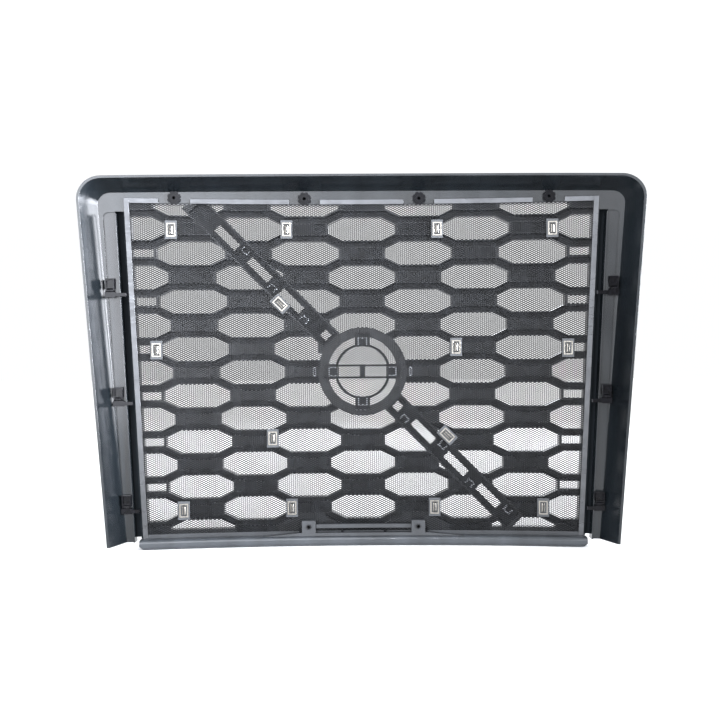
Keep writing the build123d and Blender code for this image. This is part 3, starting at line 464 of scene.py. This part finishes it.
def moulded_finish(name, base, roughness, grain, edge, spread=0.25, index=1.5):
    """Injection-moulded plastic: long faint flow streaks, a fine even grain, and roughness that wanders."""
    material, shader, place = new_finish(name)
    streaks = noise(material, place, 9.0, 4.0, (2.2, 1.0, 0.35))
    tone = two_tone(material, streaks, shade(base, 1 - spread), shade(base, 1 + spread), 0.35, 0.65)
    material.node_tree.links.new(tone, shader.inputs["Base Color"])
    wander = noise(material, place, 22.0, 3.0, (1.0, 1.0, 0.5))
    dull = remap(material, wander, roughness - 0.05, roughness + 0.06)
    material.node_tree.links.new(dull, shader.inputs["Roughness"])
    shader.inputs["IOR"].default_value = index
    fine = noise(material, place, grain, 2.0, (1.0, 1.0, 1.0))
    rounded_bump(material, shader, fine, 0.18, 0.0002, edge)
    return material


def surround_finish(base):
    """Satin moulding of the surround: flow streaks, fine grain, and thin dark upright lines at a regular
    spacing along X, which are painted shade in the colour standing for sink lines over ribs.
    """
    material, shader, place = new_finish("surround_satin")
    nodes, links = material.node_tree.nodes, material.node_tree.links
    streaks = noise(material, place, 7.0, 5.0, (2.6, 1.0, 0.4))
    tone = two_tone(material, streaks, shade(base, 0.75), shade(base, 1.35), 0.35, 0.68)
    # Painted shade: thin bands of darker base colour at a regular spacing along X, standing for the dents
    # of sink lines over the ribs.
    wave = nodes.new("ShaderNodeTexWave")
    wave.wave_type = "BANDS"
    wave.bands_direction = "X"
    wave.wave_profile = "SIN"
    wave.inputs["Scale"].default_value = 3.9
    wave.inputs["Distortion"].default_value = 0.0
    links.new(place.outputs["Object"], wave.inputs["Vector"])
    line = two_tone(material, wave.outputs["Fac"], (0.0, 0.0, 0.0), (1.0, 1.0, 1.0), 0.0, 0.006)
    mix = nodes.new("ShaderNodeMix")
    mix.data_type = "RGBA"
    mix.inputs["A"].default_value = (*shade(base, 0.45), 1.0)
    links.new(line, mix.inputs["Factor"])
    links.new(tone, mix.inputs["B"])
    links.new(mix.outputs["Result"], shader.inputs["Base Color"])
    wander = noise(material, place, 14.0, 4.0, (1.6, 1.0, 0.5))
    dull = remap(material, wander, 0.17, 0.24)
    links.new(dull, shader.inputs["Roughness"])
    shader.inputs["IOR"].default_value = 1.46
    fine = noise(material, place, 1400.0, 2.0, (1.0, 1.0, 1.0))
    rounded_bump(material, shader, fine, 0.12, 0.00015, 0.0008)
    return material


def bezel_finish(base):
    """Satin on faces that look forward, and a dull raw back: gloss follows the surface's normal in Y."""
    material, shader, place = new_finish("bezel_satin")
    nodes, links = material.node_tree.nodes, material.node_tree.links
    streaks = noise(material, place, 9.0, 4.0, (2.2, 1.0, 0.35))
    tone = two_tone(material, streaks, shade(base, 0.75), shade(base, 1.25), 0.35, 0.65)
    links.new(tone, shader.inputs["Base Color"])
    facing = nodes.new("ShaderNodeSeparateXYZ")
    links.new(place.outputs["Normal"], facing.inputs["Vector"])
    for socket, back, front in (("Specular IOR Level", 0.03, 0.5), ("Roughness", 0.7, 0.24)):
        turning = stretched(material.node_tree, facing.outputs["Y"], -0.3, 0.1, back, front)
        links.new(turning, shader.inputs[socket])
    fine = noise(material, place, 1600.0, 2.0, (1.0, 1.0, 1.0))
    rounded_bump(material, shader, fine, 0.18, 0.0002, 0.0008)
    return material


def painted_screen_finish(base):
    """Dark, dull paint on expanded metal, in slightly uneven patches."""
    material, shader, place = new_finish("screen_paint")
    links = material.node_tree.links
    patches = noise(material, place, 60.0, 4.0, (1.0, 1.0, 1.0))
    tone = two_tone(material, patches, shade(base, 0.7), shade(base, 1.9), 0.4, 0.75)
    links.new(tone, shader.inputs["Base Color"])
    fine = noise(material, place, 900.0, 2.0, (1.0, 1.0, 1.0))
    links.new(remap(material, fine, 0.35, 0.5), shader.inputs["Roughness"])
    shader.inputs["IOR"].default_value = 1.25
    bump = material.node_tree.nodes.new("ShaderNodeBump")
    bump.inputs["Strength"].default_value = 0.2
    bump.inputs["Distance"].default_value = 0.0001
    links.new(fine, bump.inputs["Height"])
    links.new(bump.outputs["Normal"], shader.inputs["Normal"])
    return material


def metal_finish(name, base, roughness, brushing, edge):
    """Bare metal with brushing drawn out along one way and a few dull patches."""
    material, shader, place = new_finish(name)
    links = material.node_tree.links
    patches = noise(material, place, 30.0, 4.0, (1.0, 1.0, 1.0))
    tone = two_tone(material, patches, shade(base, 0.8), shade(base, 1.05), 0.35, 0.65)
    links.new(tone, shader.inputs["Base Color"])
    shader.inputs["Metallic"].default_value = 1.0
    lines = noise(material, place, 260.0, 3.0, brushing)
    links.new(remap(material, lines, roughness - 0.08, roughness + 0.1), shader.inputs["Roughness"])
    rounded_bump(material, shader, lines, 0.12, 0.0001, edge)
    return material


def gloss_finish(name, base, roughness):
    """Polished black moulding with faint polishing haze."""
    material, shader, place = new_finish(name)
    links = material.node_tree.links
    haze = noise(material, place, 120.0, 4.0, (1.0, 1.0, 1.0))
    tone = two_tone(material, haze, shade(base, 0.8), shade(base, 1.8), 0.35, 0.7)
    links.new(tone, shader.inputs["Base Color"])
    links.new(remap(material, haze, roughness - 0.03, roughness + 0.05), shader.inputs["Roughness"])
    shader.inputs["IOR"].default_value = 1.22
    rounded_bump(material, shader, haze, 0.05, 0.0001, 0.0007)
    return material


def all_finishes():
    """One material for each material slot of the record, by slot name."""
    c = settings().colours
    along_x, along_y, along_z = (0.05, 1.0, 1.0), (1.0, 0.1, 1.0), (1.0, 1.0, 0.1)
    return {
        "outer_moulding": surround_finish(tuple(c.moulding)),
        "bezel_skin": bezel_finish(tuple(c.show_face)),
        "lattice_moulding": moulded_finish(
            "lattice_grained", tuple(c.lattice), 0.27, 1100.0, 0.0005, spread=0.35
        ),
        "screen_sheet": painted_screen_finish(tuple(c.screen)),
        "edging_metal": metal_finish("edging_zinc", tuple(c.metal), 0.33, along_x, 0.0005),
        "edging_dark": moulded_finish("edging_dark", tuple(c.dark_edging), 0.45, 1200.0, 0.0005),
        "rail_moulding": moulded_finish("rail_satin", tuple(c.rail), 0.33, 1200.0, 0.0006),
        "bracket_moulding": moulded_finish("bracket_dull", tuple(c.bracket), 0.5, 1000.0, 0.0005),
        "sleeve_metal": metal_finish("sleeve_steel", tuple(c.steel), 0.34, along_y, 0.0003),
        "black_hardware": moulded_finish(
            "hardware_black", tuple(c.hardware), 0.3, 1500.0, 0.0004, index=1.18
        ),
        "clip_plastic": moulded_finish("clip_nylon", tuple(c.clip_plastic), 0.38, 1500.0, 0.0003, 0.15),
        "clip_pad": moulded_finish("clip_pad_dull", tuple(c.clip_pad), 0.45, 1300.0, 0.0004, 0.2),
        "clip_metal": metal_finish("clip_spring_steel", tuple(c.clip_metal), 0.3, along_z, 0.0004),
        "latch_plastic": gloss_finish("latch_gloss", tuple(c.latch), 0.16),
    }


def finish_of(slot):
    """The material of a slot, as the finishes operator made it."""
    name = bpy.context.scene["grille_finish_" + slot]
    return bpy.data.materials[name]


def studio_world():
    """White studio, brighter overhead. Behind the camera, where the direction's Y nears -1, it is darker:
    0.5 below the level, 1.1 a little above it."""
    world = bpy.data.worlds.new("studio_world")
    world.use_nodes = True
    nodes, links = world.node_tree.nodes, world.node_tree.links
    backdrop = nodes["Background"]
    backdrop.inputs["Color"].default_value = (0.98, 0.99, 1.0, 1.0)
    place = nodes.new("ShaderNodeTexCoord")
    parts = nodes.new("ShaderNodeSeparateXYZ")
    links.new(place.outputs["Generated"], parts.inputs["Vector"])
    behind = stretched(world.node_tree, parts.outputs["Z"], -0.05, 0.13, 0.5, 1.1)
    dome = stretched(world.node_tree, parts.outputs["Z"], 0.1, 0.7, 1.02, 1.6)
    ahead = stretched(world.node_tree, parts.outputs["Y"], -0.9, -0.5, 0.0, 1.0)
    blend = nodes.new("ShaderNodeMix")
    links.new(ahead, blend.inputs["Factor"])
    links.new(behind, blend.inputs["A"])
    links.new(dome, blend.inputs["B"])
    links.new(blend.outputs["Result"], backdrop.inputs["Strength"])
    return world


# ---- operators ----
class GRILLE_OT_finishes(bpy.types.Operator):
    """Gives every piece of the frame the finish of its material slot"""

    bl_idname = "grille.finishes"
    bl_label = "Finishes"

    def execute(self, context):
        finishes = all_finishes()
        for slot, material in finishes.items():
            context.scene["grille_finish_" + slot] = material.name
        for subpart in frame["record"]["subparts"]:
            node = frame["nodes"][subpart["node"]]
            for place in node.material_slots:
                place.material = finishes[subpart["material_slot"]]
        return {"FINISHED"}


class GRILLE_OT_screen(bpy.types.Operator):
    """Makes the diamond screen from two families of crossing strands"""

    bl_idname = "grille.screen"
    bl_label = "Diamond screen"

    def execute(self, context):
        stations = settings().screen.stretches + 1
        families = [strand_family(direction) for direction in (1, -1)]
        points = np.concatenate(families)
        faces = strand_faces(len(points), stations)
        material = finish_of("screen_sheet")
        screen = mesh_object("diamond_screen", points, faces.tolist(), material, False)
        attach(screen, FRAME_BODY)
        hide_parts("screen_mesh")
        return {"FINISHED"}


class GRILLE_OT_pips(bpy.types.Operator):
    """Makes the small round pips on the lattice's panels"""

    bl_idname = "grille.pips"
    bl_label = "Panel pips"

    def execute(self, context):
        trim = settings().trim
        x, z = pip_places()
        points = dome_points(x, z, trim.pip_radius, trim.pip_rise, trim.panel_depth + PIP_SINK)
        faces = dome_faces(len(x), points.shape[1], points.shape[2])
        pips = mesh_object("panel_pips", points, faces, finish_of("lattice_moulding"), True)
        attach(pips, FRAME_BODY)
        return {"FINISHED"}


class GRILLE_OT_tongues(bpy.types.Operator):
    """Makes the two sprung tongues in each push-on clip"""

    bl_idname = "grille.tongues"
    bl_label = "Clip tongues"

    def execute(self, context):
        shapes = [shape for middle, turn in clip_frames() for shape in tongue_points(middle, turn)]
        points = np.stack(shapes)
        count, along, across = points.shape[:3]
        one = grid_faces(across, along, False)
        faces = (one[None] + np.arange(count)[:, None, None] * along * across).reshape(-1, 4)
        tongues = mesh_object("clip_tongues", points, faces.tolist(), finish_of("clip_metal"), True)
        solid = tongues.modifiers.new("thickness", "SOLIDIFY")
        solid.thickness = TONGUE_SHEET
        solid.offset = 0.0
        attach(tongues, FRAME_BODY)
        return {"FINISHED"}


class GRILLE_OT_stage(bpy.types.Operator):
    """Sets up the floor, the soft lights and the camera"""

    bl_idname = "grille.stage"
    bl_label = "Stage"

    def execute(self, context):
        scene = context.scene
        scene.view_settings.view_transform = "Standard"
        floor_mesh = bpy.data.meshes.new("studio_floor")
        signs = [(-1, -1), (1, -1), (1, 1), (-1, 1)]
        corners = [(x * FLOOR_REACH, y * FLOOR_REACH, -FLOOR_DROP) for x, y in signs]
        floor_mesh.from_pydata(corners, [], [(0, 1, 2, 3)])
        floor = bpy.data.objects.new("studio_floor", floor_mesh)
        scene.collection.objects.link(floor)
        material, shader, place = new_finish("floor_pale")
        specks = noise(material, place, 3.0, 3.0, (1.0, 1.0, 1.0))
        tone = two_tone(material, specks, (0.89, 0.89, 0.885), (0.92, 0.92, 0.92), 0.3, 0.7)
        material.node_tree.links.new(tone, shader.inputs["Base Color"])
        shader.inputs["Roughness"].default_value = 0.9
        floor_mesh.materials.append(material)

        scene.world = studio_world()

        for name, (where, aim, size, power, spread) in LAMPS.items():
            lamp = bpy.data.lights.new("light_" + name, "AREA")
            lamp.shape = "RECTANGLE"
            lamp.size, lamp.size_y = size
            lamp.energy = power
            lamp.spread = math.radians(spread)
            lamp.color = LAMP_TINT
            holder = bpy.data.objects.new("light_" + name, lamp)
            holder.location = where
            aim_at(holder, aim)
            scene.collection.objects.link(holder)

        lens = bpy.data.cameras.new("view")
        lens.sensor_width = CAMERA_SENSOR
        lens.lens = CAMERA_LENS
        lens.clip_end = 60.0
        camera = bpy.data.objects.new("view", lens)
        camera.location = CAMERA_PLACE
        aim_at(camera, CAMERA_AIM)
        camera.rotation_euler.rotate_axis("Z", CAMERA_ROLL)
        scene.collection.objects.link(camera)
        scene.camera = camera
        return {"FINISHED"}


def aim_at(item, target):
    """Turns a lamp or camera towards a point."""
    way = np.array(target, float) - np.array(item.location, float)
    item.rotation_euler = Vector(way).to_track_quat("-Z", "Y").to_euler()


class GrilleSettings(bpy.types.PropertyGroup):
    """All groups of sizes and colours."""

    form: bpy.props.PointerProperty(name="Form", description="Curve and outline", type=GrilleForm)
    screen: bpy.props.PointerProperty(name="Screen", description="Diamond screen", type=GrilleScreen)
    trim: bpy.props.PointerProperty(name="Trim", description="Pips and tongues", type=GrilleTrim)
    colours: bpy.props.PointerProperty(name="Colours", description="Finishes", type=GrilleColours)


OPERATORS = (GRILLE_OT_finishes, GRILLE_OT_screen, GRILLE_OT_pips, GRILLE_OT_tongues, GRILLE_OT_stage)


class GRILLE_PT_panel(bpy.types.Panel):
    """Lists the operators that build the grille's looks"""

    bl_idname = "GRILLE_PT_panel"
    bl_label = "Grille"
    bl_space_type = "VIEW_3D"
    bl_region_type = "UI"
    bl_category = "Grille"

    def draw(self, context):
        for operator in OPERATORS:
            self.layout.operator(operator.bl_idname)


GROUPS = (GrilleForm, GrilleScreen, GrilleTrim, GrilleColours, GrilleSettings)


def register():
    for item in GROUPS + OPERATORS + (GRILLE_PT_panel,):
        bpy.utils.register_class(item)
    bpy.types.Scene.grille = bpy.props.PointerProperty(
        name="Grille", description="Sizes and colours of the grille", type=GrilleSettings
    )


def unregister():
    del bpy.types.Scene.grille
    for item in reversed(GROUPS + OPERATORS + (GRILLE_PT_panel,)):
        bpy.utils.unregister_class(item)


def main():
    register()
    bpy.ops.grille.finishes()
    bpy.ops.grille.screen()
    bpy.ops.grille.pips()
    bpy.ops.grille.tongues()
    bpy.ops.grille.stage()


if __name__ == "__main__":
    main()
